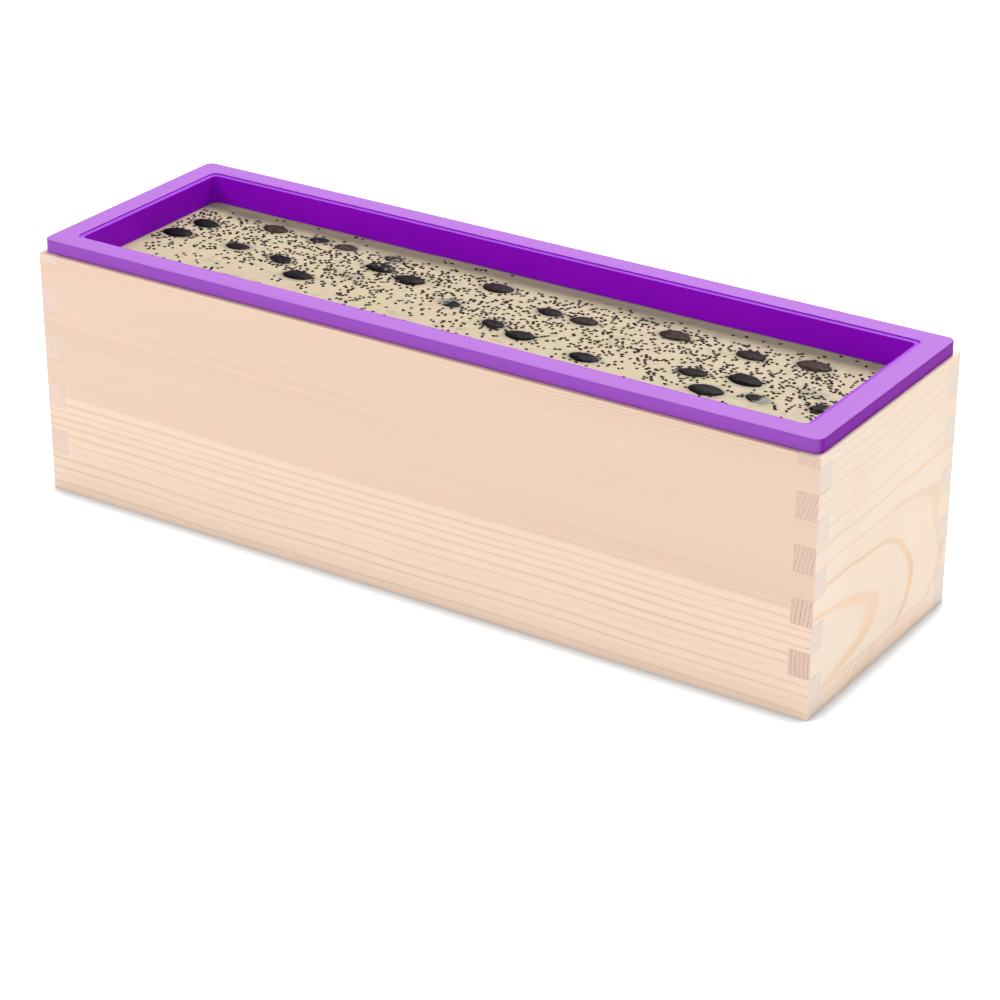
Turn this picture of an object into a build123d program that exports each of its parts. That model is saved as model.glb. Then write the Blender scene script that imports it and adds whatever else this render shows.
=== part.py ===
from build123d import *
import os
from math import ceil

# Soap loaf mould: a wooden box of five boards with finger-jointed corners, a silicone
# liner that hangs inside it, and a poured loaf topped with coffee beans.
# Millimetres. X runs along the loaf, Y from front to back, Z up.
# The origin is the centre of the box's underside.

# ---- wooden box ----
box_length = 285.0
box_width = 90.0
box_height = 84.4
board_thickness = 7.0
first_finger = 13.6  # height of the long boards' lowest finger
finger_width = 8.46  # every finger above it; the top one is cut off by the board's edge

# ---- silicone liner ----
liner_gap = 0.5  # tub to boards, all round
liner_wall = 2.6
liner_floor = 3.0
cavity_corner_radius = 1.7
corner_over_floor = 0.5  # upright corners are this much rounder than the floor's edge
rim_end_inset = 1.0  # rim back from the box's end faces
rim_side_inset = 1.2  # rim back from the box's long faces
rim_lift = 0.15  # rim's underside above the boards' top edges
rim_thickness = 4.55
rim_corner_radius = 2.8
rim_edge_radius = 0.3
mouth_step_width = 1.5  # shallow ledge around the mouth, where a cover would sit
mouth_step_depth = 0.5
mouth_corner_radius = 2.3

# ---- poured loaf and its topping ----
loaf_drop = 10.3  # soap's surface below the rim's top
loaf_gap = 0.2  # soap to liner walls
bean_length = 11.5
bean_width = 7.2
bean_height = 3.6
bean_crown_radius = 1.8
bean_sunk = 1.7  # depth of a bean's flat side below the soap's surface

# Each bean: share of the loaf's half length, share of its half width, turn in degrees,
# size against the full bean, and how much deeper it lies than the others (mm).
bean_places = [
    (-0.945, 0.13, 4, 1.00, 0.0),
    (-0.925, 0.48, -6, 0.95, 0.1),
    (-0.760, 0.16, 3, 0.82, 0.2),
    (-0.755, 0.73, -4, 0.88, 0.2),
    (-0.615, 0.72, 12, 0.74, 0.7),
    (-0.620, 0.11, -20, 0.86, 0.6),
    (-0.530, 0.70, 5, 0.78, 0.3),
    (-0.520, -0.13, 4, 0.98, 0.1),
    (-0.385, 0.71, -10, 0.74, 0.8),
    (-0.380, 0.45, -5, 1.00, 0.0),
    (-0.275, 0.36, 2, 0.98, 0.0),
    (-0.110, 0.10, -15, 0.76, 0.5),
    (-0.065, 0.64, 3, 0.98, 0.0),
    (0.046, -0.09, -14, 0.82, 0.4),
    (0.122, 0.41, -4, 0.84, 0.1),
    (0.137, -0.19, 2, 0.94, 0.0),
    (0.217, 0.40, 5, 0.86, 0.0),
    (0.330, -0.30, -3, 0.94, 0.0),
    (0.440, 0.56, -4, 0.96, 0.0),
    (0.582, -0.06, 6, 0.86, 0.2),
    (0.646, 0.54, -3, 0.90, 0.1),
    (0.655, -0.32, 2, 1.04, 0.0),
    (0.703, 0.04, -8, 1.04, 0.0),
    (0.773, -0.23, -16, 0.78, 0.5),
    (0.796, 0.64, -2, 1.04, 0.0),
    (0.925, -0.11, 20, 0.86, 0.2),
    (-0.880, -0.66, 35, 0.94, 0.1),
    (-0.660, -0.58, -12, 0.98, 0.0),
    (-0.400, -0.72, 8, 0.90, 0.2),
    (-0.120, -0.60, -30, 0.96, 0.1),
    (0.100, -0.73, 6, 1.00, 0.0),
    (0.380, -0.70, 22, 0.92, 0.2),
    (0.560, -0.74, -7, 0.88, 0.1),
    (0.840, -0.66, -25, 0.96, 0.0),
]

# ---- sizes that follow ----
inner_length = box_length - 2 * board_thickness
inner_width = box_width - 2 * board_thickness

tub_length = inner_length - 2 * liner_gap
tub_width = inner_width - 2 * liner_gap
cavity_length = tub_length - 2 * liner_wall
cavity_width = tub_width - 2 * liner_wall
mouth_length = cavity_length + 2 * mouth_step_width
mouth_width = cavity_width + 2 * mouth_step_width
rim_length = box_length - 2 * rim_end_inset
rim_width = box_width - 2 * rim_side_inset
rim_underside = box_height + rim_lift
rim_top = rim_underside + rim_thickness
cavity_floor = board_thickness + liner_floor
cavity_floor_radius = cavity_corner_radius - corner_over_floor

loaf_length = cavity_length - 2 * loaf_gap
loaf_width = cavity_width - 2 * loaf_gap
loaf_top = rim_top - loaf_drop
loaf_corner_radius = cavity_corner_radius - loaf_gap
loaf_floor_radius = cavity_floor_radius - loaf_gap

# The fingers alternate upwards from first_finger; the even ones belong to the end boards.
finger_count = ceil((box_height - first_finger) / finger_width)
finger_edges = [first_finger + finger_width * step for step in range(finger_count)] + [box_height]
end_fingers = [finger_edges[step : step + 2] for step in range(0, finger_count, 2)]
end_x = (box_length - board_thickness) / 2  # middle of an end board
side_y = (box_width - board_thickness) / 2  # middle of a long board
centred = (Align.CENTER, Align.CENTER, Align.MIN)

os.makedirs("parts", exist_ok=True)


def keep(builder, name):
    """Label a finished piece and write its STEP file."""
    builder.part.label = name
    export_step(builder.part, f"parts/{name}.step")


def make_long_board(name, y):
    """Front or back board: full length, notched at both ends for the end boards' fingers."""
    with BuildPart() as board:
        with Locations((0, y, 0)):
            Box(box_length, board_thickness, box_height, align=centred)
        for bottom, top in end_fingers:
            with Locations((-end_x, y, bottom), (end_x, y, bottom)):
                Box(board_thickness, board_thickness, top - bottom, align=centred, mode=Mode.SUBTRACT)
    keep(board, name)


def make_end_board(name, x):
    """Left or right board: stands on the base board and reaches out in its own fingers."""
    with BuildPart() as board:
        with Locations((x, 0, board_thickness)):
            Box(board_thickness, inner_width, box_height - board_thickness, align=centred)
        for bottom, top in end_fingers:
            with Locations((x, 0, bottom)):
                Box(board_thickness, box_width, top - bottom, align=centred)
    keep(board, name)


# ---- boards ----
make_long_board("front_board", -side_y)
make_long_board("back_board", side_y)
make_end_board("left_end_board", -end_x)
make_end_board("right_end_board", end_x)

# The base board lies between the long boards and under the end boards.
with BuildPart() as base_board:
    Box(box_length, inner_width, board_thickness, align=centred)
keep(base_board, "base_board")

# ---- silicone liner: a tub that stands on the base board, with a thick flat rim ----
with BuildPart() as silicone_liner:
    with BuildSketch(Plane.XY.offset(board_thickness)):
        RectangleRounded(tub_length, tub_width, cavity_corner_radius + liner_wall)
    extrude(amount=rim_underside - board_thickness)
    fillet(silicone_liner.edges().group_by(Axis.Z)[0], cavity_floor_radius + liner_wall)
    with BuildSketch(Plane.XY.offset(rim_underside)):
        RectangleRounded(rim_length, rim_width, rim_corner_radius)
    extrude(amount=rim_thickness)
    fillet(silicone_liner.edges().group_by(Axis.Z)[-1], rim_edge_radius)
    with BuildSketch(Plane.XY.offset(rim_top - mouth_step_depth)):
        RectangleRounded(mouth_length, mouth_width, mouth_corner_radius)
    extrude(amount=mouth_step_depth, mode=Mode.SUBTRACT)
    with BuildSketch(Plane.XY.offset(cavity_floor)):
        RectangleRounded(cavity_length, cavity_width, cavity_corner_radius)
    extrude(amount=rim_top - cavity_floor, mode=Mode.SUBTRACT)
    floor_edges = silicone_liner.edges().filter_by_position(Axis.Z, cavity_floor, cavity_floor)
    fillet(floor_edges, cavity_floor_radius)
keep(silicone_liner, "silicone_liner")

# ---- coffee beans: one rounded pebble with a flat underside, set down again and again ----
with BuildPart() as bean:
    with BuildSketch() as bean_outline:
        Ellipse(bean_length / 2, bean_width / 2)
    extrude(amount=bean_height)
    fillet(bean.edges().group_by(Axis.Z)[-1], bean_crown_radius)

with BuildPart() as coffee_beans:
    for along, across, turn, share, deeper in bean_places:
        place = Location(
            (along * loaf_length / 2, across * loaf_width / 2, loaf_top - bean_sunk * share - deeper),
            (0, 0, turn),
        )
        with Locations(place):
            add(scale(bean.part, by=share, mode=Mode.PRIVATE))
keep(coffee_beans, "coffee_beans")

# ---- poured loaf: fills the liner and holds each bean in its own pocket ----
with BuildPart() as soap_loaf:
    with BuildSketch(Plane.XY.offset(cavity_floor)):
        RectangleRounded(loaf_length, loaf_width, loaf_corner_radius)
    extrude(amount=loaf_top - cavity_floor)
    fillet(soap_loaf.edges().group_by(Axis.Z)[0], loaf_floor_radius)
    add(coffee_beans.part, mode=Mode.SUBTRACT)
keep(soap_loaf, "soap_loaf")
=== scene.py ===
import math
import random

import bmesh
import bpy
import numpy as np
from mathutils import Matrix, Vector, noise


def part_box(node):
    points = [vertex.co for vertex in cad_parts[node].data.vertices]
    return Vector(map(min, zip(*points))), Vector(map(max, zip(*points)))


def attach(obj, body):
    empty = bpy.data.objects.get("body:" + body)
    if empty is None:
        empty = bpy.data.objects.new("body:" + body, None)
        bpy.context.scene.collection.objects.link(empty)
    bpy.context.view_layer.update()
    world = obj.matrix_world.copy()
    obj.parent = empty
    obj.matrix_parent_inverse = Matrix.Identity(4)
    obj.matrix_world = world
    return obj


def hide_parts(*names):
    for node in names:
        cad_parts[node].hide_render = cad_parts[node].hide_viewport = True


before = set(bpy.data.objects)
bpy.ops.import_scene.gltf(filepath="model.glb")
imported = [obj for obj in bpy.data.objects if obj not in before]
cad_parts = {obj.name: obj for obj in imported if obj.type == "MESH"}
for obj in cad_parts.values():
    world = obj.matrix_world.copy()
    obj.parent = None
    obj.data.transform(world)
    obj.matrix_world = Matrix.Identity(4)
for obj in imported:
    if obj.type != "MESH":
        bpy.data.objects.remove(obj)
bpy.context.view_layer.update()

MM = 0.001  # every size below is in millimetres; Blender's unit is the metre

# ---- camera ----
CAMERA_AZIMUTH = 33.006  # degrees round from the front, towards the right end
CAMERA_ELEVATION = 25.994  # degrees above the horizon
CAMERA_ROLL = 0.174  # degrees
CAMERA_DISTANCE = 0.9937  # metres, from the aim point
CAMERA_AIM = (0.00143, 0.00807, 0.01214)  # metres
CAMERA_LENS = 110.26  # on a 36 mm sensor

# ---- boards ----
BOARD_EDGE = 0.12  # width of the broken edges
LONG_BOARD_RING_TURN = 1.26  # growth rings of the long boards rise this much per mm of depth
# Growth rings of the end boards:
END_RING_GAP = 1.35  # through a board's thickness
END_RING_BOW = 400.0  # squared height above the pith's own that gains one ring on the face
END_RING_TAPER = (0.030, 0.018)  # rings gained per mm along the board: everywhere, past its middle
END_RING_BEND = 5.0  # and the length over which the second one sets in

# ---- liner ----
LINER_GAP = 0.5  # tub to boards
LINER_WALL = 2.6
LINER_FLOOR = 3.0
CAVITY_CORNER = 1.7
CAVITY_FLOOR_CORNER = 1.2
RIM_CORNER = 2.8
RIM_THICKNESS = 4.55
RIM_EDGE = 0.3
MOUTH_STEP_WIDTH = 1.5
MOUTH_STEP_DEPTH = 0.5
MOUTH_CORNER = 2.3
MOUTH_EDGE = 0.12  # rounding of the mouth's upper edge
LEDGE_EDGE = 0.2  # rounding where the ledge drops into the cavity
UNDER_RIM_FILLET = 0.8  # tub's outside to the rim's underside
UNDER_RIM_EDGE = 0.2
RIM_DIP = 0.04  # how far the soft rim sags or draws in between its corners

# ---- studio: metres and watts ----
LIGHT_TARGET = (0.0, 0.0, 0.05)
LIGHTS = {  # place, width, depth, power
    "overhead": ((-0.06, 0.95, 1.30), 0.85, 0.75, 26.0),
    "front_fill": ((-0.6, -1.45, 1.25), 1.4, 1.2, 16.9),
    "right_fill": ((1.9, -0.2, 0.8), 1.0, 1.0, 3.5),
}
ROOM_LIGHT = 0.45  # strength of the white surroundings
TABLE_REACH = 6.0
TABLE_SHADE = 0.010  # distance over which the table's painted glow dims into a painted contact shadow round what stands on it

# ---- loaf and topping ----
LOAF_CORNER = 1.5
LOAF_FLOOR_CORNER = 1.0
LOAF_SKIN = 0.15  # the visible soap reaches this much nearer the liner than its solid does
SOAP_CELL = 0.7  # spacing of the soap surface's mesh
BEAN_RISE = 0.66  # a bean's crown above the soap, against the solid one's
BEAN_WAIST = 0.15  # its widest level, below the soap's surface
SEED_COUNT = 2050
SEED_SIZE = (1.5, 1.08, 0.38)
SEED_GAP_SQUARED = 0.9  # least squared distance between two seeds' centres
SEED_WALL_GAP = 0.9
SEEDS_ON_RAGGED = 26  # seeds tried round each ragged bean
LONE_SEEDS = 0.88  # share of the drops that are a single seed
# Beans by their place in the row, counted from the left end:
BROWN_BEANS = {4: 0.9, 8: 1.0, 16: 0.35, 21: 0.5, 24: 0.75, 27: 0.3, 31: 0.85}  # how brown
RAGGED_BEANS = {6, 17, 26, 33}  # crusted with seeds, rough outlines
GROOVED_BEANS = {12}  # flat side up
SMEARED_BEANS = {  # how much soap has dried on them, and on which end: -1 left, 1 right, 0 all over
    4: (0.25, 0),
    7: (0.42, 0),
    11: (0.55, 0),
    12: (0.52, 0),
    13: (0.45, -1),
    15: (1.0, -1),
    19: (0.45, -1),
    26: (0.4, -1),
    30: (1.0, 1),
    33: (0.52, 0),
}
# Beans that sank, by share of the loaf's half length and half width. Only a stained blur shows.
SUNKEN_BEANS = [(0.345, 0.76), (-0.87, 0.84), (-0.41, 0.14), (0.86, 0.12)]

shuffle = random.Random(7)


# ================ small helpers ================


def new_object(name, corners, faces, smooth=True):
    """A mesh object from corners in metres, with its normals made to point outwards."""
    mesh = bpy.data.meshes.new(name)
    mesh.from_pydata([tuple(corner) for corner in corners], [], [tuple(face) for face in faces])
    made = bmesh.new()
    made.from_mesh(mesh)
    bmesh.ops.recalc_face_normals(made, faces=made.faces)
    made.to_mesh(mesh)
    made.free()
    for polygon in mesh.polygons:
        polygon.use_smooth = smooth
    thing = bpy.data.objects.new(name, mesh)
    bpy.context.scene.collection.objects.link(thing)
    return thing


def finish_piece(piece, surface, body, slot, *nodes):
    """Give a piece its material and its body, and hide the CAD nodes it stands for. The slot argument is
    not used.
    """
    piece.data.materials.clear()
    piece.data.materials.append(surface)
    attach(piece, body)
    if nodes:
        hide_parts(*nodes)


def welded_copy(node):
    """A bmesh copy of a CAD node, its doubled corners merged and its flat faces whole."""
    made = bmesh.new()
    made.from_mesh(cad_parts[node].data)
    bmesh.ops.remove_doubles(made, verts=made.verts, dist=0.001 * MM)
    bmesh.ops.dissolve_limit(
        made,
        angle_limit=math.radians(0.5),
        verts=made.verts,
        edges=made.edges,
        use_dissolve_boundaries=False,
    )
    return made


# ================ material helper ================


class Surface:
    """One Principled material, with short names for the nodes its pattern is made of."""

    def __init__(self, name, **settings):
        self.material = bpy.data.materials.new(name)
        self.material.use_nodes = True
        self.tree = self.material.node_tree
        self.shader = self.tree.nodes["Principled BSDF"]
        for socket, value in settings.items():
            self.shader.inputs[socket.replace("_", " ")].default_value = value
        place = self.node("ShaderNodeTexCoord")
        self.normal = place.outputs["Normal"]
        in_metres = {0: place.outputs["Object"], "Scale": 1 / MM}
        scaled = self.node("ShaderNodeVectorMath", in_metres, operation="SCALE")
        self.place = scaled.outputs["Vector"]
        self.x, self.y, self.z = self.split(self.place)

    def node(self, kind, inputs=None, **settings):
        made = self.tree.nodes.new(kind)
        for key, value in settings.items():
            setattr(made, key, value)
        for key, value in (inputs or {}).items():
            if isinstance(value, bpy.types.NodeSocket):
                self.tree.links.new(value, made.inputs[key])
            else:
                made.inputs[key].default_value = value
        return made

    def split(self, vector):
        return self.node("ShaderNodeSeparateXYZ", {0: vector}).outputs[:3]

    def math(self, operation, *values):
        return self.node("ShaderNodeMath", dict(enumerate(values)), operation=operation).outputs[0]

    def add(self, a, b):
        return self.math("ADD", a, b)

    def times(self, a, b):
        return self.math("MULTIPLY", a, b)

    def noise(self, size, detail=2.0, shift=0.0, roughness=0.5):
        """Noise about 0, from -0.5 to 0.5, with features of the given size along X, Y and Z."""
        grid = {0: self.place, 1: [1 / length for length in size], 2: (shift, shift, shift)}
        where = self.node("ShaderNodeVectorMath", grid, operation="MULTIPLY_ADD").outputs[0]
        inputs = {"Vector": where, "Scale": 1.0, "Detail": detail, "Roughness": roughness}
        return self.add(self.node("ShaderNodeTexNoise", inputs).outputs["Fac"], -0.5)

    def ramp(self, value, start, end, low=0.0, high=1.0):
        """A smooth step from low to high as value goes from start to end."""
        inputs = {"Value": value, "From Min": start, "From Max": end, "To Min": low, "To Max": high}
        return self.node("ShaderNodeMapRange", inputs, interpolation_type="SMOOTHSTEP").outputs["Result"]

    def mix(self, share, first, second, how="MIX"):
        inputs = {0: share, 6: first, 7: second}
        made = self.node("ShaderNodeMix", inputs, data_type="RGBA", blend_type=how)
        return made.outputs[2]

    def set(self, socket, value):
        self.tree.links.new(value, self.shader.inputs[socket])

    def bump(self, height, depth):
        """Relief from a height about 0, depth in millimetres."""
        inputs = {"Height": height, "Distance": depth * MM, "Strength": 1.0}
        self.set("Normal", self.node("ShaderNodeBump", inputs).outputs["Normal"])


def rgb(red, green, blue):
    """A linear colour with alpha, from display values of 0 to 255."""

    def linear(channel):
        level = channel / 255
        return level / 12.92 if level <= 0.04045 else ((level + 0.055) / 1.055) ** 2.4

    return [linear(red), linear(green), linear(blue), 1.0]


# ================ pine ================


def ring_lines(wood, phase, start=0.6, faintest=0.35):
    """Growth rings from a ring count: each darkens slowly towards its late wood, then stops."""
    part = wood.math("FRACT", phase)
    line = wood.times(wood.ramp(part, start, 0.88), wood.ramp(part, 0.91, 1.0, 1.0, 0.0))
    year = wood.node("ShaderNodeTexWhiteNoise", {"W": wood.math("FLOOR", phase)}, noise_dimensions="1D")
    return wood.times(line, wood.ramp(year.outputs["Value"], 0.0, 0.8, faintest, 1.0))


def pine(name, grain, rings, face, line, end, end_line):
    """Bare pine. grain is 0 or 1 for boards that run along X or Y. rings(wood) gives the ring
    lines and the share of the second face tone; face holds both tones, line both line colours."""
    wood = Surface(name, Roughness=0.6, Specular_IOR_Level=0.35)
    lines, second = rings(wood)
    along = (260.0, 9.0, 9.0) if grain == 0 else (9.0, 260.0, 9.0)
    fibre_size = (34.0, 0.5, 0.5) if grain == 0 else (0.5, 34.0, 0.5)
    pore_size = (9.0, 0.22, 0.22) if grain == 0 else (0.22, 9.0, 0.22)
    fibre = wood.noise(fibre_size, 3.0)
    pores = wood.noise(pore_size, 2.0, 5.0)
    cloud = wood.noise(along, 2.0, 3.0)
    base = wood.mix(second, rgb(*face[0]), rgb(*face[1]))
    dark = wood.mix(second, rgb(*line[0]), rgb(*line[1]))
    strength = wood.ramp(wood.noise((70.0, 40.0, 14.0), 2.0, 11.0), -0.25, 0.2, 0.6, 1.0)
    side = wood.mix(wood.times(lines, strength), base, dark)
    end_share = wood.ramp(wood.math("ABSOLUTE", wood.split(wood.normal)[grain]), 0.5, 0.8)
    end_side = wood.mix(lines, rgb(*end), rgb(*end_line))
    colour = wood.mix(end_share, side, end_side)
    shade = wood.add(wood.times(fibre, 0.07), wood.add(wood.times(pores, 0.05), wood.times(cloud, 0.09)))
    tone = wood.add(shade, 1.0)
    grey = wood.node("ShaderNodeCombineColor", {0: tone, 1: tone, 2: tone}).outputs[0]
    wood.set("Base Color", wood.mix(1.0, colour, grey, "MULTIPLY"))
    wood.set("Roughness", wood.add(wood.times(fibre, 0.2), wood.add(wood.times(lines, -0.08), 0.62)))
    relief = wood.add(wood.times(lines, 0.5), wood.add(wood.times(fibre, 0.6), wood.times(pores, 0.5)))
    wood.bump(relief, 0.06)
    return wood.material


def long_board_rings(face_y, shift, split_height, split_sign):
    """Rift-sawn board: coarse rings on one side of a line along the board, tight ones beyond."""

    def rings(wood):
        slow = wood.times(wood.noise((120.0, 60.0, 40.0), 1.0, shift), 3.4)
        quick = wood.times(wood.noise((36.0, 30.0, 14.0), 1.0, shift + 3.0), 0.9)
        depth = wood.times(wood.add(wood.y, -face_y), -LONG_BOARD_RING_TURN)
        height = wood.add(wood.add(wood.z, depth), wood.add(slow, quick))
        uneven = wood.times(wood.noise((900.0, 900.0, 7.0), 1.0, shift + 8.0), 0.7)
        coarse = ring_lines(wood, wood.add(wood.times(height, 1 / 2.95), uneven), 0.58)
        fine = ring_lines(wood, wood.add(wood.times(height, 1 / 1.08), wood.times(uneven, 1.6)), 0.4, 0.1)
        faint = wood.ramp(wood.noise((160.0, 60.0, 16.0), 1.0, shift + 5.0), -0.12, 0.16, 0.25, 0.95)
        edge = wood.times(wood.add(height, -split_height), split_sign)
        second = wood.ramp(edge, -0.5, 0.6)
        fine_share = wood.times(second, faint)
        coarse_share = wood.math("SUBTRACT", 1.0, second)
        lines = wood.add(wood.times(coarse, coarse_share), wood.times(fine, fine_share))
        return lines, second

    return rings


def end_board_rings(face_x, outward, pith_height, taper_sign, shift):
    """Flat-sawn board: nested arches about the pith's height, and nearly level lines well above."""

    def rings(wood):
        warp = wood.times(wood.noise((30.0, 34.0, 26.0), 1.5, shift), 4.0)
        rise = wood.add(wood.add(wood.z, -pith_height), warp)
        bow = wood.times(wood.times(rise, rise), 1 / END_RING_BOW)
        depth = wood.times(wood.add(wood.x, -face_x), -outward / END_RING_GAP)
        along = wood.times(wood.y, taper_sign)
        bend = wood.math("SQRT", wood.add(wood.times(along, along), END_RING_BEND**2))
        taper = wood.add(wood.times(along, END_RING_TAPER[0]), wood.times(bend, END_RING_TAPER[1]))
        level = wood.add(wood.ramp(rise, 8.0, 35.0, 1.0, 0.0), wood.ramp(rise, 35.0, 60.0, 0.0, -0.45))
        run_out = wood.times(taper, level)
        inside = wood.ramp(wood.math("ABSOLUTE", depth), 0.0, 1.2)
        wavy = wood.times(wood.times(wood.noise((1.6, 60.0, 2.6), 1.0, shift + 2.0), 0.75), inside)
        ring = wood.add(wood.add(bow, depth), wood.add(run_out, wavy))
        lines = ring_lines(wood, wood.add(ring, -END_RING_BEND * END_RING_TAPER[1]), 0.74, 0.6)
        fade = wood.ramp(wood.math("ABSOLUTE", rise), 16.0, 44.0, 1.0, 0.55)
        second = wood.ramp(wood.noise((40.0, 30.0, 30.0), 1.0, shift + 6.0), -0.2, 0.25)
        return wood.times(lines, fade), second

    return rings


def base_board_rings(wood):
    """Plain board, its rings leaning across its thickness."""
    wander = wood.times(wood.noise((90.0, 40.0, 20.0), 2.0, 21.0), 4.0)
    across = wood.add(wood.add(wood.y, wood.times(wood.z, -0.8)), wander)
    lines = ring_lines(wood, wood.times(across, 1 / 1.5), 0.5, 0.1)
    clear = wood.ramp(wood.math("ABSOLUTE", wood.add(wood.y, 12.0)), 6.0, 13.0, 1.0, 0.4)
    lines = wood.times(lines, clear)
    second = wood.ramp(wood.noise((200.0, 12.0, 30.0), 1.0, 23.0), -0.05, 0.15)
    return lines, second


def make_board(node, surface):
    """A board with its edges broken, cut from the CAD node's own faces."""
    made = welded_copy(node)
    bmesh.ops.bevel(
        made,
        geom=[edge for edge in made.edges if edge.calc_face_angle(0.0) > math.radians(30)],
        offset=BOARD_EDGE * MM,
        segments=2,
        profile=0.5,
        affect="EDGES",
    )
    mesh = bpy.data.meshes.new(node + "_planed")
    made.to_mesh(mesh)
    made.free()
    board = bpy.data.objects.new(node + "_planed", mesh)
    bpy.context.scene.collection.objects.link(board)
    for polygon in mesh.polygons:
        polygon.use_smooth = True
    evened = board.modifiers.new("even_normals", "WEIGHTED_NORMAL")
    evened.keep_sharp = True
    finish_piece(board, surface, "box", "pine", node)


def make_boards():
    front_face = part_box("front_board")[0].y / MM
    back_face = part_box("back_board")[1].y / MM
    right_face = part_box("right_end_board")[1].x / MM
    left_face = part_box("left_end_board")[0].x / MM
    tones = ((228, 202, 181), (221, 191, 170))
    tone_lines = ((213, 184, 160), (210, 175, 153))
    warm = ((238, 219, 200), (236, 214, 192))
    warm_lines = ((236, 188, 142), (231, 190, 152))
    end_tones = {
        "front_board": ((230, 213, 199), (216, 197, 184)),
        "right_end_board": ((211, 183, 165), (170, 139, 121)),
        "left_end_board": ((220, 196, 181), (206, 180, 164)),
        "base_board": ((243, 217, 195), (214, 172, 148)),
    }

    def long_pine(node, face, shift, split, sign):
        rings = long_board_rings(face, shift, split, sign)
        return pine("pine_" + node, 0, rings, tones, tone_lines, *end_tones["front_board"])

    def end_pine(node, face, outward, pith, taper, shift):
        rings = end_board_rings(face, outward, pith, taper, shift)
        return pine("pine_" + node, 1, rings, warm, warm_lines, *end_tones[node])

    make_board("front_board", long_pine("front_board", front_face, 1.0, 34.5, 1))
    make_board("back_board", long_pine("back_board", back_face, 31.0, 52.0, -1))
    make_board("right_end_board", end_pine("right_end_board", right_face, 1, 20.0, 1, 2.0))
    make_board("left_end_board", end_pine("left_end_board", left_face, -1, 55.0, -1, 42.0))
    base_ends = end_tones["base_board"]
    make_board("base_board", pine("pine_base", 0, base_board_rings, tones, tone_lines, *base_ends))


# ================ silicone liner ================


def between(start, end, share_x, share_y):
    """The point that lies the given shares of the way from start to end."""
    return start[0] + (end[0] - start[0]) * share_x, start[1] + (end[1] - start[1]) * share_y


def rounded_loop(half_x, half_y, radius, height, long_steps=72, short_steps=20, corner_steps=10):
    """Corners of a rounded rectangle, anticlockwise from the right side's lower end."""
    straight_x, straight_y = half_x - radius, half_y - radius
    signs = ((1, 1), (-1, 1), (-1, -1), (1, -1))
    centres = [(straight_x * sign_x, straight_y * sign_y) for sign_x, sign_y in signs]
    loop = []
    for turn, (centre_x, centre_y) in enumerate(centres):
        for step in range(corner_steps + 1):
            angle = math.pi / 2 * (turn + step / corner_steps)
            loop.append((centre_x + radius * math.cos(angle), centre_y + radius * math.sin(angle), height))
        next_x, next_y = centres[(turn + 1) % 4]
        angle = math.pi / 2 * (turn + 1)
        start = (centre_x + radius * math.cos(angle), centre_y + radius * math.sin(angle))
        end = (next_x + radius * math.cos(angle), next_y + radius * math.sin(angle))
        steps = long_steps if turn % 2 == 0 else short_steps
        for step in range(1, steps):
            loop.append((*between(start, end, step / steps, step / steps), height))
    return loop


def skin(loops):
    """Faces that join loops of equal length in order, closed with a cap at each end."""
    count = len(loops[0])
    faces = [tuple(range(count))]
    for row in range(len(loops) - 1):
        this, above = row * count, (row + 1) * count
        for step in range(count):
            following = (step + 1) % count
            faces.append((this + step, this + following, above + following, above + step))
    last = (len(loops) - 1) * count
    faces.append(tuple(range(last, last + count)))
    return faces


def quarter_turn(start, end, steps=4, bulge_first=True):
    """Points of a quarter ellipse from start to end, each an (inset, height) pair."""
    points = []
    for step in range(steps + 1):
        angle = math.pi / 2 * step / steps
        quick, slow = math.sin(angle), 1 - math.cos(angle)
        points.append(between(start, end, *((quick, slow) if bulge_first else (slow, quick))))
    return points


def tub_half_size():
    """Half the length and half the width of the liner's tub, outside."""
    inner_x, inner_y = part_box("right_end_board")[0].x / MM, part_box("base_board")[1].y / MM
    return inner_x - LINER_GAP, inner_y - LINER_GAP


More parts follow.
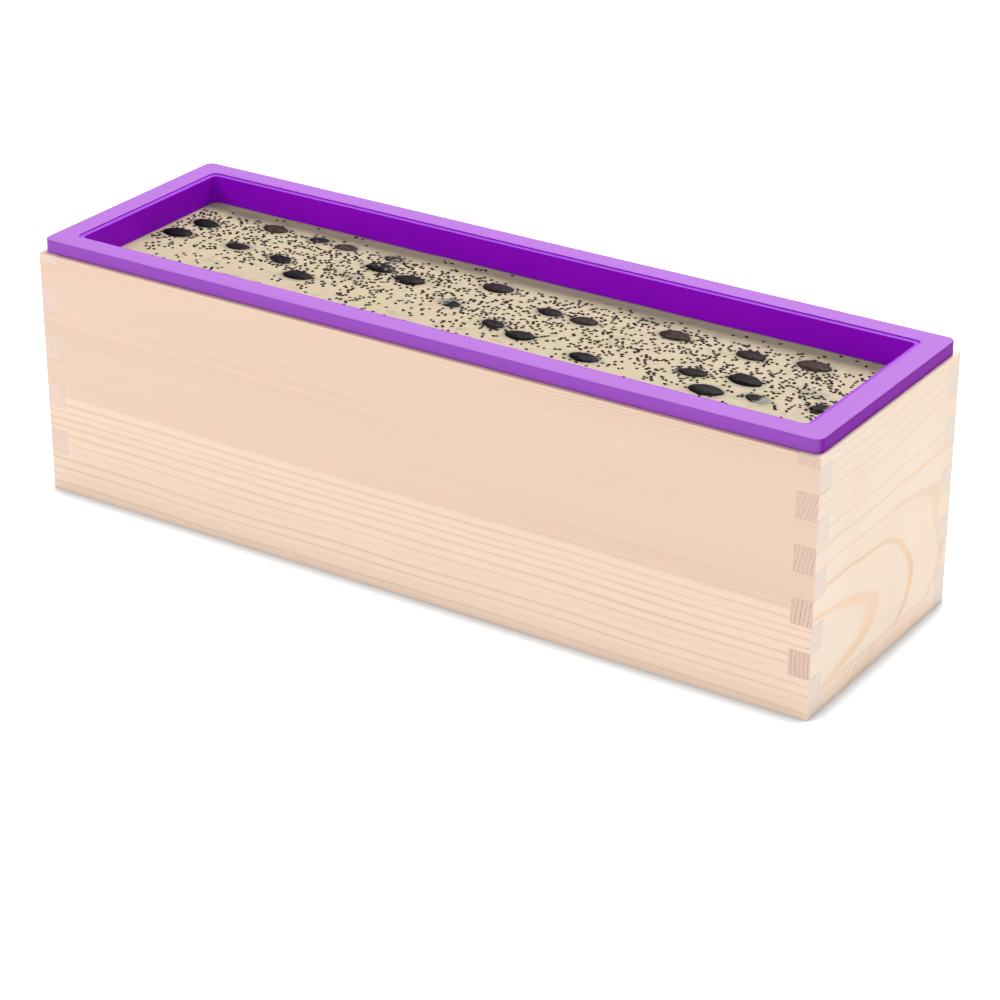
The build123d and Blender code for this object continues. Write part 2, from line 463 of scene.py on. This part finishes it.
def make_liner(surface):
    """The liner as one skin: up the tub's outside, over the rim, across the ledge, down inside."""
    low, high = (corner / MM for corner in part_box("silicone_liner"))
    tub_x, tub_y = tub_half_size()
    tub_corner = CAVITY_CORNER + LINER_WALL
    tub_round = CAVITY_FLOOR_CORNER + LINER_WALL
    top, under = high.z, high.z - RIM_THICKNESS
    cavity_x, cavity_y = tub_x - LINER_WALL, tub_y - LINER_WALL
    mouth_x, mouth_y = cavity_x + MOUTH_STEP_WIDTH, cavity_y + MOUTH_STEP_WIDTH
    ledge, floor = top - MOUTH_STEP_DEPTH, low.z + LINER_FLOOR

    loops = []

    def loops_from(half_x, half_y, corner, points):
        """One loop for each (inset, height) point, inset from a rounded rectangle."""
        for inset, height in points:
            loops.append(rounded_loop(half_x - inset, half_y - inset, max(corner - inset, 0.4), height))

    loops_from(tub_x, tub_y, tub_corner, quarter_turn((tub_round, low.z), (0, low.z + tub_round), 6))
    fillet = UNDER_RIM_FILLET
    side_levels = np.linspace(low.z + tub_round, under - fillet, 9)[1:]
    loops_from(tub_x, tub_y, tub_corner, [(0, level) for level in side_levels])
    loops_from(tub_x, tub_y, tub_corner, quarter_turn((0, under - fillet), (-fillet, under), 3, False)[1:])
    loops_from(high.x, high.y, RIM_CORNER, [(3.0, under)])
    edge = UNDER_RIM_EDGE
    loops_from(high.x, high.y, RIM_CORNER, quarter_turn((edge, under), (0, under + edge), 3))
    side_levels = np.linspace(under + edge, top - RIM_EDGE, 5)[1:]
    loops_from(high.x, high.y, RIM_CORNER, [(0, level) for level in side_levels])
    edge = RIM_EDGE
    loops_from(high.x, high.y, RIM_CORNER, quarter_turn((0, top - edge), (edge, top), 5, False)[1:])
    loops_from(high.x, high.y, RIM_CORNER, [(2.2, top), (3.6, top), (5.0, top)])
    edge = MOUTH_EDGE
    loops_from(mouth_x, mouth_y, MOUTH_CORNER, quarter_turn((-edge, top), (0, top - edge), 3))
    loops_from(mouth_x, mouth_y, MOUTH_CORNER, quarter_turn((0, ledge + 0.1), (edge, ledge), 2, False))
    edge = LEDGE_EDGE
    loops_from(cavity_x, cavity_y, CAVITY_CORNER, quarter_turn((-edge, ledge), (0, ledge - edge), 4))
    wall_levels = np.linspace(ledge - edge, floor + CAVITY_FLOOR_CORNER, 10)[1:]
    loops_from(cavity_x, cavity_y, CAVITY_CORNER, [(0, level) for level in wall_levels])
    turn = quarter_turn((0, floor + CAVITY_FLOOR_CORNER), (CAVITY_FLOOR_CORNER, floor), 6, False)
    loops_from(cavity_x, cavity_y, CAVITY_CORNER, turn[1:])

    corners = np.array([corner for loop in loops for corner in loop])
    soften_rim(corners, under, top)
    liner = new_object("liner_moulding", corners * MM, skin(loops))
    finish_piece(liner, surface, "liner", "silicone", "silicone_liner")


def soften_rim(corners, under, top):
    """Lets the soft rim dip a little between its corners, never above or outside its true size."""
    share = np.clip((corners[:, 2] - under) / (top - under), 0, 1)
    wave_x = np.sin(corners[:, 0] / 31.0 + 0.6) * 0.5 + np.sin(corners[:, 0] / 13.0 + 2.0) * 0.2
    wave_y = np.sin(corners[:, 1] / 17.0 + 1.1) * 0.4
    corners[:, 2] -= share * RIM_DIP * (1.15 + wave_x + wave_y) / 1.8
    inward = share * RIM_DIP * (1 + np.sin(corners[:, 0] / 23.0 + 1.7))
    corners[:, 1] -= np.sign(corners[:, 1]) * inward


def silicone():
    """Deep violet silicone with painted light: a copy tuned for the cavity walls in shade, a duller copy
    on its outer faces with the long sides painted lighter than the ends, and a pale speckled painted sheen
    on its rim's top.
    """
    rubber = Surface("silicone_purple", Roughness=0.45, Specular_IOR_Level=0.05)
    up = rubber.split(rubber.normal)[2]
    speck = rubber.noise((0.7, 0.7, 0.7), 2.0)
    smear = rubber.noise((38.0, 22.0, 14.0), 3.0, 4.0)
    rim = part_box("silicone_liner")[1] / MM
    # Painted sheen: the rim's upward top faces get a pale speckled colour that stands in for the overhead
    # lamp's sheen.
    near_top = rubber.ramp(rubber.z, rim.z - 0.75, rim.z - 0.25)
    painted_sheen_share = rubber.times(rubber.ramp(up, 0.3, 0.95), near_top)
    tub_x, tub_y = tub_half_size()
    outside_x = rubber.ramp(rubber.math("ABSOLUTE", rubber.x), tub_x - 0.8, tub_x - 0.2)
    outside_y = rubber.ramp(rubber.math("ABSOLUTE", rubber.y), tub_y - 0.8, tub_y - 0.2)
    underneath = rubber.ramp(up, -0.3, -0.9)
    outer = rubber.math("MAXIMUM", rubber.math("MAXIMUM", outside_x, outside_y), underneath)
    # Painted light: the outer faces of the long sides are painted lighter than those of the ends.
    painted_long_side_light = rubber.ramp(rubber.math("ABSOLUTE", rubber.split(rubber.normal)[1]), 0.3, 0.9)
    # The cavity walls get a copy of the violet tuned for them in shade, and the outer faces get the duller
    # side tones.
    deep = rubber.mix(rubber.ramp(smear, -0.3, 0.3), rgb(142, 5, 200), rgb(148, 8, 206))
    side = rubber.mix(painted_long_side_light, rgb(127, 16, 159), rgb(144, 74, 178))
    # The pale colour of the painted sheen on the rim's top.
    painted_sheen = rubber.mix(rubber.ramp(speck, -0.25, 0.25), rgb(163, 105, 193), rgb(169, 111, 198))
    colour = rubber.mix(outer, deep, side)
    rubber.set("Base Color", rubber.mix(painted_sheen_share, colour, painted_sheen))
    rubber.set("Roughness", rubber.add(rubber.times(smear, 0.12), 0.45))
    dents = rubber.times(rubber.noise((3.0, 3.0, 3.0)), 0.8)
    rubber.bump(rubber.add(rubber.times(speck, 0.5), dents), 0.02)
    return rubber.material


# ================ beans ================


def read_beans():
    """Centre, heading, length, width, lowest and highest level of each CAD bean, left to right."""
    made = welded_copy("coffee_beans")
    left = set(made.verts)
    beans = []
    while left:
        queue = [left.pop()]
        island = []
        while queue:
            corner = queue.pop()
            island.append(corner.co.copy())
            for edge in corner.link_edges:
                other = edge.other_vert(corner)
                if other in left:
                    left.remove(other)
                    queue.append(other)
        points = np.array(island) / MM
        centre = (points.min(0) + points.max(0)) / 2
        flat = points[:, :2] - centre[:2]
        sizes, headings = np.linalg.eigh(flat.T @ flat)
        heading = headings[:, 1] * (1 if headings[0, 1] >= 0 else -1)
        across = np.array((-heading[1], heading[0]))
        beans.append(
            {
                "x": centre[0],
                "y": centre[1],
                "heading": heading,
                "across": across,
                "length": np.ptp(flat @ heading),
                "width": np.ptp(flat @ across),
                "low": points[:, 2].min(),
                "high": points[:, 2].max(),
            }
        )
    made.free()
    return sorted(beans, key=lambda bean: bean["x"])


def bean_reach(bean, x, y):
    """Squared distance from a bean's middle, where 1 is its outline."""
    offset_x, offset_y = x - bean["x"], y - bean["y"]
    heading, across = bean["heading"], bean["across"]
    lengthwise = (offset_x * heading[0] + offset_y * heading[1]) / (bean["length"] / 2)
    crosswise = (offset_x * across[0] + offset_y * across[1]) / (bean["width"] / 2)
    return lengthwise**2 + crosswise**2


def bean_shell(bean, level, ragged, grooved, rows=28, spokes=72):
    """Corners and faces of one bean: a low dome, widest just under the soap's surface."""
    waist = level - BEAN_WAIST
    crown = (bean["high"] - waist) * BEAN_RISE
    lean = shuffle.uniform(-0.06, 0.06)
    point = shuffle.uniform(0.08, 0.2)
    bend = shuffle.uniform(-0.1, 0.1)
    roughness = 0.09 if ragged else 0.035
    origin = Vector((shuffle.uniform(0, 99), shuffle.uniform(0, 99), shuffle.uniform(0, 99)))
    corners = []
    for row in range(rows + 1):
        polar = math.pi * row / rows - math.pi / 2
        reach = max(math.cos(polar), 0.0) ** 0.72
        rise = math.sin(polar)
        for spoke in range(spokes if 0 < row < rows else 1):
            angle = 2 * math.pi * spoke / spokes
            along = reach * math.cos(angle)
            across = reach * math.sin(angle) * (1 - point * along * along) + bend * (1 - along * along)
            wrinkle = noise.noise(origin + Vector((along * 4.2, across * 2.8, rise * 1.5)))
            wrinkle += 0.5 * noise.noise(origin + Vector((along * 11.0, across * 7.0, rise * 3.0)))
            swell = 1 + roughness * wrinkle
            up = rise * (1 + 1.6 * roughness * wrinkle)
            if grooved and rise > 0:
                crease = across - 0.16 * math.sin(along * 2.6)
                up -= 0.3 * math.exp(-((crease / 0.13) ** 2)) * (1 - along**4) * rise
            height = up * crown if rise > 0 else up * (waist - bean["low"])
            corners.append((along * swell, across * swell, height + lean * along))
    local = np.array(corners)
    flat = np.outer(local[:, 0] * bean["length"] / 2, bean["heading"])
    flat += np.outer(local[:, 1] * bean["width"] / 2, bean["across"])
    placed = np.column_stack((bean["x"] + flat[:, 0], bean["y"] + flat[:, 1], waist + local[:, 2]))
    last = 1 + (rows - 2) * spokes
    faces = []
    for spoke in range(spokes):
        following = (spoke + 1) % spokes
        faces.append((0, 1 + following, 1 + spoke))
        for row in range(rows - 2):
            first, second = 1 + row * spokes, 1 + (row + 1) * spokes
            faces.append((first + spoke, first + following, second + following, second + spoke))
        faces.append((last + spoke, last + following, len(local) - 1))
    return placed, faces, local[:, 0]


def make_beans(beans, level, surface):
    """All the beans as one piece, each remembering its roast and how much soap has run over it."""
    corners, faces, roast, smear = [], [], [], []
    for index, bean in enumerate(beans):
        placed, its_faces, along = bean_shell(bean, level, index in RAGGED_BEANS, index in GROOVED_BEANS)
        start = len(corners)
        corners.extend(placed)
        faces.extend(tuple(start + corner for corner in face) for face in its_faces)
        roast.extend([BROWN_BEANS.get(index, shuffle.uniform(0.0, 0.12))] * len(placed))
        amount, end = SMEARED_BEANS.get(index, (shuffle.uniform(0.0, 0.12), 0))
        smear.extend(amount * np.clip(1 - abs(end) * 0.5 + end * along * 0.75, 0, 1))
    piece = new_object("roasted_beans", np.array(corners) * MM, faces)
    for name, values in (("roast", roast), ("smear", smear)):
        layer = piece.data.attributes.new(name, "FLOAT", "POINT")
        layer.data.foreach_set("value", values)
    finish_piece(piece, surface, "loaf", "coffee_bean", "coffee_beans")


def roasted_bean():
    """Dark roast with a dull oily shine, and a film of dried soap where it has run over."""
    bean = Surface("roasted_bean", Roughness=0.45, Specular_IOR_Level=0.07)
    roast = bean.node("ShaderNodeAttribute", attribute_name="roast").outputs["Fac"]
    smear = bean.node("ShaderNodeAttribute", attribute_name="smear").outputs["Fac"]
    mottle = bean.noise((1.6, 1.6, 1.6), 4.0)
    grain = bean.noise((0.25, 0.25, 0.25), 3.0, 2.0)
    black = bean.mix(bean.ramp(mottle, -0.3, 0.3), rgb(3, 2, 3), rgb(14, 12, 13))
    brown = bean.mix(bean.ramp(mottle, -0.3, 0.3), rgb(36, 26, 23), rgb(78, 60, 48))
    body = bean.mix(roast, black, brown)
    patch = bean.add(bean.noise((2.1, 2.1, 2.1), 3.0, 9.0), bean.times(grain, 0.3))
    film = bean.ramp(bean.add(patch, bean.times(bean.add(smear, -0.62), 0.8)), -0.06, 0.14)
    colour = bean.mix(bean.times(film, 0.8), body, rgb(158, 156, 146))
    bean.set("Base Color", colour)
    bean.set("Roughness", bean.add(bean.times(mottle, 0.35), bean.add(bean.times(film, 0.25), 0.37)))
    bean.bump(bean.add(mottle, bean.times(grain, 0.7)), 0.17)
    return bean.material


# ================ soap ================


def soap_level(x, y, half_x, half_y, top, beans):
    """Height of the soap's surface: slow waves, a lip at the walls and a lip round each bean."""
    waves = 0.06 * np.sin(x / 9.0 + 1.0) * np.sin(y / 7.0 + 0.4)
    waves += 0.05 * np.sin(x / 21.0 + y / 15.0) + 0.025 * np.sin(x / 3.1 + 2.0 * np.sin(y / 5.0))
    wall = np.minimum(half_x - np.abs(x), half_y - np.abs(y))
    level = top + waves + 0.4 * np.exp(-np.clip(wall, 0, None) / 0.7)
    for bean in beans:
        outside = (np.sqrt(bean_reach(bean, x, y)) - 0.97) * bean["width"] / 2
        level = level + 0.2 * np.exp(-np.clip(outside, 0, None) / 0.7)
    return level


def soap_shade_and_stain(x, y, half_x, half_y, beans):
    """Share of painted shade and coffee staining in the soap: a painted shade halo round each bean and a
    stained blur over each sunken one.
    """
    halo_shade_and_stain = np.zeros_like(x)
    for bean in beans:
        outside = np.clip((np.sqrt(bean_reach(bean, x, y)) - 0.95) * bean["width"] / 2, 0, None)
        # Painted shade: a dark halo round each bean, where its contact shadow would fall.
        halo_shade_and_stain = np.maximum(halo_shade_and_stain, 0.75 * np.exp(-outside / 0.75))
    for along, across in SUNKEN_BEANS:
        reach = ((x - along * half_x) / 6.0) ** 2 + ((y - across * half_y) / 3.2) ** 2
        halo_shade_and_stain = np.maximum(halo_shade_and_stain, 0.42 * np.exp(-(reach**1.6)))
    return halo_shade_and_stain


def rounded_into(x, y, half_x, half_y, radius):
    """Moves the corner cells of a square-cornered sheet onto its rounded corners."""
    corner_x, corner_y = np.abs(x) - (half_x - radius), np.abs(y) - (half_y - radius)
    inside = (corner_x > 0) & (corner_y > 0)
    share_x, share_y = corner_x / radius, corner_y / radius
    new_x = half_x - radius + radius * share_x * np.sqrt(np.clip(1 - share_y**2 / 2, 0, None))
    new_y = half_y - radius + radius * share_y * np.sqrt(np.clip(1 - share_x**2 / 2, 0, None))
    return np.where(inside, np.sign(x) * new_x, x), np.where(inside, np.sign(y) * new_y, y)


def make_soap(beans, surface):
    """The poured loaf: a fine sheet on top, closed by its sides and floor."""
    low, high = (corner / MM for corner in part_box("soap_loaf"))
    half_x, half_y = high.x + LOAF_SKIN, high.y + LOAF_SKIN
    corner = LOAF_CORNER + LOAF_SKIN
    columns, rows = round(2 * half_x / SOAP_CELL), round(2 * half_y / SOAP_CELL)
    steps_x = np.linspace(-half_x, half_x, columns + 1)
    steps_y = np.linspace(-half_y, half_y, rows + 1)
    x, y = np.meshgrid(steps_x, steps_y)
    x, y = rounded_into(x, y, half_x, half_y, corner)
    z = soap_level(x, y, half_x, half_y, high.z, beans)
    corners = np.stack((x, y, z), axis=-1).reshape(-1, 3)
    index = np.arange(corners.shape[0]).reshape(rows + 1, columns + 1)
    cells = np.stack((index[:-1, :-1], index[:-1, 1:], index[1:, 1:], index[1:, :-1]), axis=-1)
    faces = cells.reshape(-1, 4).tolist()
    border = np.concatenate((index[0, :-1], index[:-1, -1], index[-1, :0:-1], index[:0:-1, 0]))
    edge = corners[border]
    loops = []
    drop = LOAF_FLOOR_CORNER
    levels = [(0, level) for level in np.linspace(high.z - 1.0, low.z + drop, 6)]
    levels += quarter_turn((0, low.z + drop), (drop, low.z), 5, False)[1:]
    for inset, level in levels:
        loop = edge.copy()
        loop[:, 0] *= (half_x - inset) / half_x
        loop[:, 1] *= (half_y - inset) / half_y
        loop[:, 2] = level
        loops.append(loop)
    count, start = len(border), len(corners)
    previous = border
    for loop in loops:
        current = np.arange(start, start + count)
        ring = (previous, np.roll(previous, -1), np.roll(current, -1), current)
        faces += np.stack(ring, axis=-1).tolist()
        previous, start = current, start + count
    faces.append(previous.tolist())
    corners = np.concatenate([corners, *loops])
    soap = new_object("poured_soap", corners * MM, faces)
    # The attribute holds the painted shade halos round the beans and the stained blurs over the sunken
    # ones.
    layer = soap.data.attributes.new("halo_shade_and_stain", "FLOAT", "POINT")
    layer.data.foreach_set("value", soap_shade_and_stain(corners[:, 0], corners[:, 1], half_x, half_y, beans))
    finish_piece(soap, surface, "loaf", "soap", "soap_loaf")
    return half_x, half_y, high.z


def cream_soap():
    """Opaque cream soap, clouded in patches, with a painted shadow along the back wall, painted shade
    halos round the beans and stained blurs over the sunken ones.
    """
    soap = Surface("cream_soap", Roughness=0.55, Specular_IOR_Level=0.25)
    warm = soap.ramp(soap.noise((16.0, 11.0, 11.0), 3.0), -0.22, 0.22)
    green = soap.ramp(soap.noise((22.0, 13.0, 13.0), 2.0, 7.0), -0.02, 0.22)
    fine = soap.noise((1.4, 1.4, 1.4), 4.0, 3.0)
    blur = soap.noise((4.5, 3.5, 3.5), 3.0, 17.0)
    base = soap.mix(warm, rgb(180, 167, 135), rgb(188, 168, 142))
    base = soap.mix(soap.times(green, 0.6), base, rgb(177, 170, 127))
    base = soap.mix(soap.ramp(fine, -0.35, 0.35, 0.0, 0.5), base, rgb(193, 180, 157))
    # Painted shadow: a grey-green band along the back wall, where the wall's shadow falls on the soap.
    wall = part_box("soap_loaf")[1].y / MM
    painted_wall_shadow = soap.add(soap.y, soap.times(blur, 6.0))
    base = soap.mix(soap.ramp(painted_wall_shadow, wall - 13.0, wall - 2.0, 0.0, 0.65), base, rgb(162, 160, 120))
    halo_shade_and_stain = soap.node("ShaderNodeAttribute", attribute_name="halo_shade_and_stain").outputs["Fac"]
    shade_stain_and_haze = soap.add(halo_shade_and_stain, soap.ramp(blur, 0.02, 0.3, 0.0, 0.35))
    # Painted shade and staining: the halos, the sunken beans' blurs and a random haze mix the soap towards
    # grey-brown.
    base = soap.mix(soap.math("MINIMUM", shade_stain_and_haze, 0.85), base, rgb(104, 98, 88))
    soap.set("Base Color", base)
    soap.set("Roughness", soap.add(soap.times(fine, 0.25), 0.55))
    dimple = soap.noise((0.9, 0.9, 0.9), 2.0, 13.0)
    soap.bump(soap.add(fine, soap.times(dimple, 0.5)), 0.1)
    return soap.material


# ================ poppy seeds ================


def seed_shell():
    """Corners and faces of one seed, a small kidney about its own centre."""
    ball = bmesh.new()
    bmesh.ops.create_icosphere(ball, subdivisions=2, radius=0.5)
    corners = np.array([corner.co[:] for corner in ball.verts])
    faces = [[corner.index for corner in face.verts] for face in ball.faces]
    ball.free()
    corners[:, 1] += 0.16 * (corners[:, 0] * 2) ** 2 - 0.05
    return corners * SEED_SIZE, faces


NEIGHBOURS = [(across, along) for across in (-1, 0, 1) for along in (-1, 0, 1)]


def seed_chance(x, y, half_x, half_y):
    """How likely a seed is to land: few along the front and the back wall, most in the middle."""
    along, across = x / half_x, y / half_y
    rise = min(1.0, max(0.2, (across + 0.5) / 0.62))
    wall = min(1.0, max(0.07, (0.84 - across) / 0.14))
    drift = 0.5 + 0.5 * math.sin(along * 7.3 + 2.1 * across + 0.8) * math.cos(across * 4.1 - along * 3.0)
    bare = 0.5 if along < -0.5 and across < -0.08 else 1.0
    return rise * wall * bare * (0.72 + 0.28 * drift)


def scatter_seeds(beans, half_x, half_y):
    """Places on the soap for single seeds, short clumps and seeds caught against the beans."""
    spots = []
    taken = {}

    def free(x, y):
        if abs(x) > half_x - SEED_WALL_GAP or abs(y) > half_y - SEED_WALL_GAP:
            return False
        if any(bean_reach(bean, x, y) < 1 for bean in beans):
            return False
        cells = [(round(x) + step_x, round(y) + step_y) for step_x, step_y in NEIGHBOURS]
        near = [spot for cell in cells for spot in taken.get(cell, ())]
        return all((x - spot[0]) ** 2 + (y - spot[1]) ** 2 > SEED_GAP_SQUARED for spot in near)

    def drop(x, y):
        if free(x, y):
            spots.append((x, y))
            taken.setdefault((round(x), round(y)), []).append((x, y))

    for index, bean in enumerate(beans):
        ragged = index in RAGGED_BEANS
        for _ in range(SEEDS_ON_RAGGED if ragged else shuffle.randint(0, 4)):
            angle = shuffle.uniform(0, 2 * math.pi)
            reach = shuffle.uniform(1.04, 1.5 if ragged else 1.3) / 2
            place = bean["heading"] * math.cos(angle) * bean["length"] * reach
            place = place + bean["across"] * math.sin(angle) * bean["width"] * reach
            drop(bean["x"] + place[0], bean["y"] + place[1])
    while len(spots) < SEED_COUNT:
        x, y = shuffle.uniform(-half_x, half_x), shuffle.uniform(-half_y, half_y)
        if shuffle.random() > seed_chance(x, y, half_x, half_y):
            continue
        for _ in range(1 if shuffle.random() < LONE_SEEDS else shuffle.randint(2, 5)):
            drop(x, y)
            x += shuffle.gauss(0, 1.5)
            y += shuffle.gauss(0, 0.9)
    return spots


def make_seeds(beans, half_x, half_y, top, surface):
    """The seeds as one piece, each turned its own way and half sunk into the soap."""
    shell, shell_faces = seed_shell()
    spots = np.array(scatter_seeds(beans, half_x, half_y))
    levels = soap_level(spots[:, 0], spots[:, 1], half_x, half_y, top, beans)
    corners, faces = [], []
    for (x, y), level in zip(spots, levels):
        turn = Matrix.Rotation(shuffle.uniform(0, 2 * math.pi), 3, "Z")
        tilt = Matrix.Rotation(shuffle.uniform(-0.22, 0.22), 3, "Y")
        size = shuffle.uniform(0.78, 1.08)
        start = len(corners) * len(shell)
        rise = shuffle.uniform(-0.02, 0.12)
        corners.append(shell @ np.array(turn @ tilt).T * size + (x, y, level + rise))
        faces.extend([start + corner for corner in face] for face in shell_faces)
    piece = new_object("poppy_seeds", np.concatenate(corners) * MM, faces)
    finish_piece(piece, surface, "loaf", "coffee_bean")


def poppy_seed():
    """Nearly black seeds, some brown, each with a rough skin."""
    seed = Surface("poppy_seed", Roughness=0.6, Specular_IOR_Level=0.15)
    shade = seed.ramp(seed.noise((2.4, 2.4, 2.4), 2.0), -0.1, 0.25)
    seed.set("Base Color", seed.mix(shade, rgb(12, 9, 9), rgb(62, 44, 34)))
    seed.set("Roughness", seed.add(seed.times(shade, 0.1), 0.55))
    seed.bump(seed.noise((0.12, 0.12, 0.12), 2.0), 0.05)
    return seed.material


# ================ studio ================


def make_camera():
    azimuth, elevation = math.radians(CAMERA_AZIMUTH), math.radians(CAMERA_ELEVATION)
    level = math.cos(elevation)
    back = Vector((math.sin(azimuth) * level, -math.cos(azimuth) * level, math.sin(elevation)))
    camera = bpy.data.objects.new("camera", bpy.data.cameras.new("camera"))
    bpy.context.scene.collection.objects.link(camera)
    camera.location = Vector(CAMERA_AIM) + back * CAMERA_DISTANCE
    level_view = (-back).to_track_quat("-Z", "Y").to_matrix()
    roll = Matrix.Rotation(math.radians(CAMERA_ROLL), 3, "Z")
    camera.rotation_euler = (level_view @ roll).to_euler()
    camera.data.lens = CAMERA_LENS
    camera.data.sensor_width = 36.0
    bpy.context.scene.camera = camera


def make_light(name, place, width, depth, power):
    """A rectangular lamp that faces the mould."""
    light = bpy.data.lights.new(name, "AREA")
    light.shape = "RECTANGLE"
    light.size, light.size_y = width, depth
    light.energy = power
    lamp = bpy.data.objects.new(name, light)
    bpy.context.scene.collection.objects.link(lamp)
    lamp.location = place
    towards = Vector(LIGHT_TARGET) - lamp.location
    lamp.rotation_euler = towards.to_track_quat("-Z", "Y").to_euler()


def make_studio():
    """A white table in white surroundings, with soft lamps. The table glows with painted light, dimmed by
    an occlusion measure into a painted contact shadow round what stands on it.
    """
    world = bpy.data.worlds.new("studio")
    bpy.context.scene.world = world
    world.use_nodes = True
    background = world.node_tree.nodes["Background"]
    background.inputs["Color"].default_value = (1.0, 1.0, 1.0, 1.0)
    background.inputs["Strength"].default_value = ROOM_LIGHT
    for name, settings in LIGHTS.items():
        make_light(name, *settings)
    signs = ((-1, -1), (1, -1), (1, 1), (-1, 1))
    corners = [(TABLE_REACH * sign_x, TABLE_REACH * sign_y, 0) for sign_x, sign_y in signs]
    floor = new_object("table", corners, [(0, 1, 2, 3)])
    grey = (0.48, 0.5, 0.52, 1.0)
    top = Surface("white_table", Roughness=0.8, Specular_IOR_Level=0.1, Base_Color=grey)
    top.shader.inputs["Emission Color"].default_value = (1.0, 1.0, 1.0, 1.0)
    # Painted contact shadow: the table's painted glow fades where ambient occlusion finds the mould close
    # by.
    contact_shadow_ao = top.node("ShaderNodeAmbientOcclusion", {"Distance": TABLE_SHADE}, samples=16)
    top.set("Emission Strength", top.ramp(contact_shadow_ao.outputs["AO"], 0.4, 0.98, 0.07, 0.85))
    floor.data.materials.append(top.material)
    bpy.context.scene.view_settings.view_transform = "Standard"


make_camera()
make_studio()
make_boards()
make_liner(silicone())
beans = read_beans()
soap_size = make_soap(beans, cream_soap())
make_beans(beans, soap_size[2], roasted_bean())
make_seeds(beans, *soap_size, poppy_seed())
